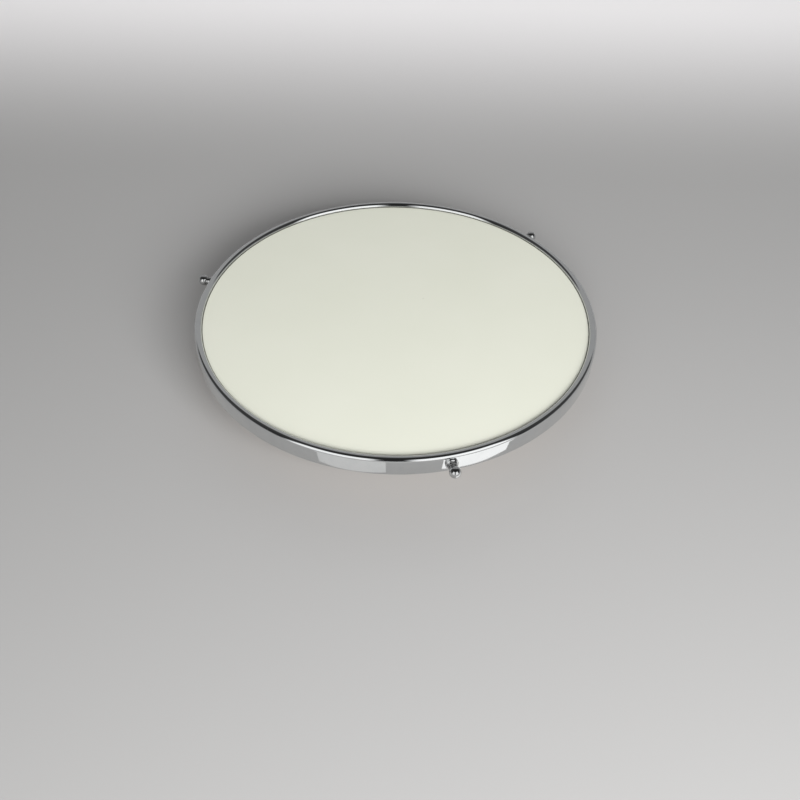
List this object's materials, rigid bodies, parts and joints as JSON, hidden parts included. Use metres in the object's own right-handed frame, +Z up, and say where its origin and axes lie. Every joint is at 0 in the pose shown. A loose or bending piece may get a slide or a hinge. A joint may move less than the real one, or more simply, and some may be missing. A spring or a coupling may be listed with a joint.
{
  "type": "lazy susan turntable",
  "caption": "Round serving turntable: a white opal glass plate in a chromed rim band with ball-headed clamp screws, on a ball-bearing foot that spins freely.",
  "frame": {"origin": "on the spin axis, in the plane of the cork pad's underside, which is the surface the turntable stands on", "axes": "+Z up along the spin axis; -Y towards the first ball-headed clamp screw"},
  "size_m": [0.35, 0.3639, 0.0533],
  "materials": {
    "cork": "matt pressed cork",
    "hardboard": "matt pressed fibreboard",
    "spun_aluminium": "satin, spun in circles",
    "zinc_steel": "bright zinc plate",
    "race_steel": "polished ground steel",
    "brass": "satin brass",
    "ball_steel": "polished bearing steel",
    "birch_board": "varnished birch plywood",
    "opal_glass": "glossy white opal glass, opaque",
    "rim_chrome": "bright chrome plate on brass"
  },
  "bodies": {
    "base": {"base_pad": "cork", "base_board": "hardboard", "base_foot": "spun_aluminium", "spindle": "zinc_steel", "spacer_sleeve": "zinc_steel", "foot_washer": "zinc_steel", "foot_nut": "zinc_steel", "lower_race": "race_steel", "lower_race_rivets": "zinc_steel", "retaining_washer": "zinc_steel", "retaining_nut": "zinc_steel"},
    "bearing_cage": {"ball_cage": "brass", "bearing_balls": "ball_steel"},
    "turntable": {"upper_race": "race_steel", "upper_race_rivets": "zinc_steel", "hub_plate": "zinc_steel", "hub_bush": "brass", "hub_screws": "zinc_steel", "carrier_board": "birch_board", "plate_liner": "cork", "glass_plate": "opal_glass", "rim_band": "rim_chrome", "rim_boss_1": "rim_chrome", "rim_boss_2": "rim_chrome", "rim_boss_3": "rim_chrome"},
    "clamp_travel_1": {"screw_washer_1": "rim_chrome"},
    "clamp_screw_1": {"ball_screw_1": "rim_chrome"},
    "clamp_travel_2": {"screw_washer_2": "rim_chrome"},
    "clamp_screw_2": {"ball_screw_2": "rim_chrome"},
    "clamp_travel_3": {"screw_washer_3": "rim_chrome"},
    "clamp_screw_3": {"ball_screw_3": "rim_chrome"}
  },
  "joints": [
    {"name": "turntable_spin", "type": "hinge", "parent": "base", "child": "turntable", "pos_m": [0, 0, 0.0315], "axis": [0, 0, 1], "continuous": true},
    {"name": "cage_spin", "type": "hinge", "parent": "base", "child": "bearing_cage", "pos_m": [0, 0, 0.0315], "axis": [0, 0, 1], "continuous": true},
    {"name": "clamp_travel_1", "type": "slide", "parent": "turntable", "child": "clamp_travel_1", "axis": [0, -1, 0], "range_m": [0, 0.0014]},
    {"name": "clamp_turn_1", "type": "hinge", "parent": "clamp_travel_1", "child": "clamp_screw_1", "pos_m": [0, -0.175, 0.0449], "axis": [0, -1, 0], "range_deg": [0, 720]},
    {"name": "clamp_travel_2", "type": "slide", "parent": "turntable", "child": "clamp_travel_2", "axis": [0.866, 0.5, 0], "range_m": [0, 0.0014]},
    {"name": "clamp_turn_2", "type": "hinge", "parent": "clamp_travel_2", "child": "clamp_screw_2", "pos_m": [0.15155, 0.0875, 0.0449], "axis": [0.866, 0.5, 0], "range_deg": [0, 720]},
    {"name": "clamp_travel_3", "type": "slide", "parent": "turntable", "child": "clamp_travel_3", "axis": [-0.866, 0.5, 0], "range_m": [0, 0.0014]},
    {"name": "clamp_turn_3", "type": "hinge", "parent": "clamp_travel_3", "child": "clamp_screw_3", "pos_m": [-0.15155, 0.0875, 0.0449], "axis": [-0.866, 0.5, 0], "range_deg": [0, 720]}
  ],
  "couplings": [
    {"joint": "cage_spin", "follows": "turntable_spin", "ratio": 0.5},
    {"joint": "clamp_turn_1", "follows": "clamp_travel_1", "rad_per_m": 8975.9},
    {"joint": "clamp_turn_2", "follows": "clamp_travel_2", "rad_per_m": 8975.9},
    {"joint": "clamp_turn_3", "follows": "clamp_travel_3", "rad_per_m": 8975.9}
  ]
}
